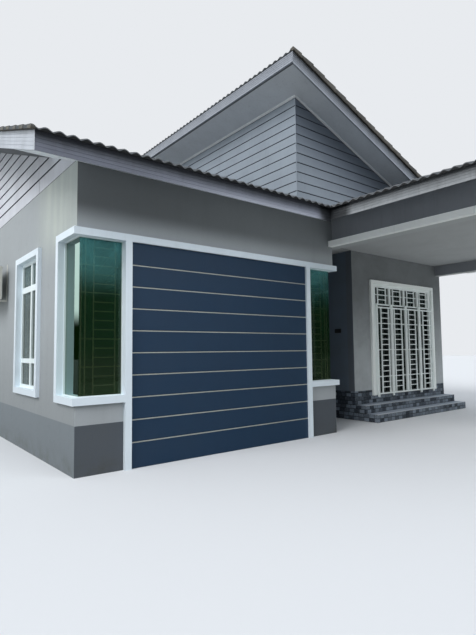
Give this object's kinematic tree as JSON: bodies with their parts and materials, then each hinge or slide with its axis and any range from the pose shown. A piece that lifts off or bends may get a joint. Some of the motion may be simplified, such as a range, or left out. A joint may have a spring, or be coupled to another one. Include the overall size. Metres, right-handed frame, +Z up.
{
  "type": "bungalow with a carport",
  "caption": "Single-storey house: a gabled front wing with corner windows, a taller hall under a mono-pitch roof, a stepped entry with a folding door grille, and a gabled carport on columns.",
  "frame": {"origin": "the front left corner of the front wing's walls, at ground level", "axes": "+X to the right along the wing's front wall, +Y towards the back of the house, +Z up"},
  "size_m": [10.91, 16.15, 6.7526],
  "materials": {
    "concrete": "trowelled floor",
    "render": "painted render",
    "dark_render": "dark painted render",
    "upper_wall": "rendered wall",
    "gable_boards": "painted lapped boards",
    "upper_boards": "painted lapped boards",
    "roof_deck": "painted soffit",
    "roof_tiles": "weathered interlocking tiles",
    "fascia": "painted boards",
    "ceiling": "painted ceiling board",
    "beam": "painted concrete",
    "beam_band": "painted plaster band",
    "step_tiles": "small dark tiles",
    "navy_boards": "painted panel with pale joints",
    "white_trim": "painted plaster band",
    "window_frame": "white paint",
    "window_glass": "tinted",
    "bars": "white paint",
    "door_frame": "dark satin",
    "door_glass": "dark tint",
    "grille": "off-white gloss paint",
    "unit_case": "aged off-white",
    "plate": "dark"
  },
  "bodies": {
    "root": {"floor_slab": "concrete", "front_wall": "render", "left_wall": "render", "wing_right_wall": "render", "wing_back_wall": "render", "recess_walls": "dark_render", "entry_walls": "render", "entry_head": "render", "hall_right_wall": "render", "hall_back_wall": "render", "upper_left_wall": "upper_wall", "upper_front_wall": "upper_wall", "gable_cladding": "gable_boards", "upper_cladding": "upper_boards", "wing_roof_front": "roof_deck", "wing_roof_back": "roof_deck", "upper_roof": "roof_deck", "carport_roof_left": "roof_deck", "carport_roof_right": "roof_deck", "wing_tiles": "roof_tiles", "upper_tiles": "roof_tiles", "carport_tiles": "roof_tiles", "ridge_caps": "roof_tiles", "wing_fascias": "fascia", "upper_fascias": "fascia", "carport_fascias": "fascia", "ceilings": "ceiling", "carport_beams": "beam", "beam_trim": "beam_band", "carport_columns": "render", "carport_gable": "gable_boards", "lower_step": "step_tiles", "upper_step": "step_tiles", "front_panel": "navy_boards", "corner_window_trim": "white_trim", "casement_trims": "white_trim", "window_frames": "window_frame", "window_glass": "window_glass", "window_bars": "bars", "door_surround": "white_trim", "door_frame": "door_frame", "door_glass": "door_glass", "door_grille": "grille", "outdoor_unit": "unit_case", "unit_bracket": "bars", "wall_plate": "plate"}
  },
  "joints": []
}
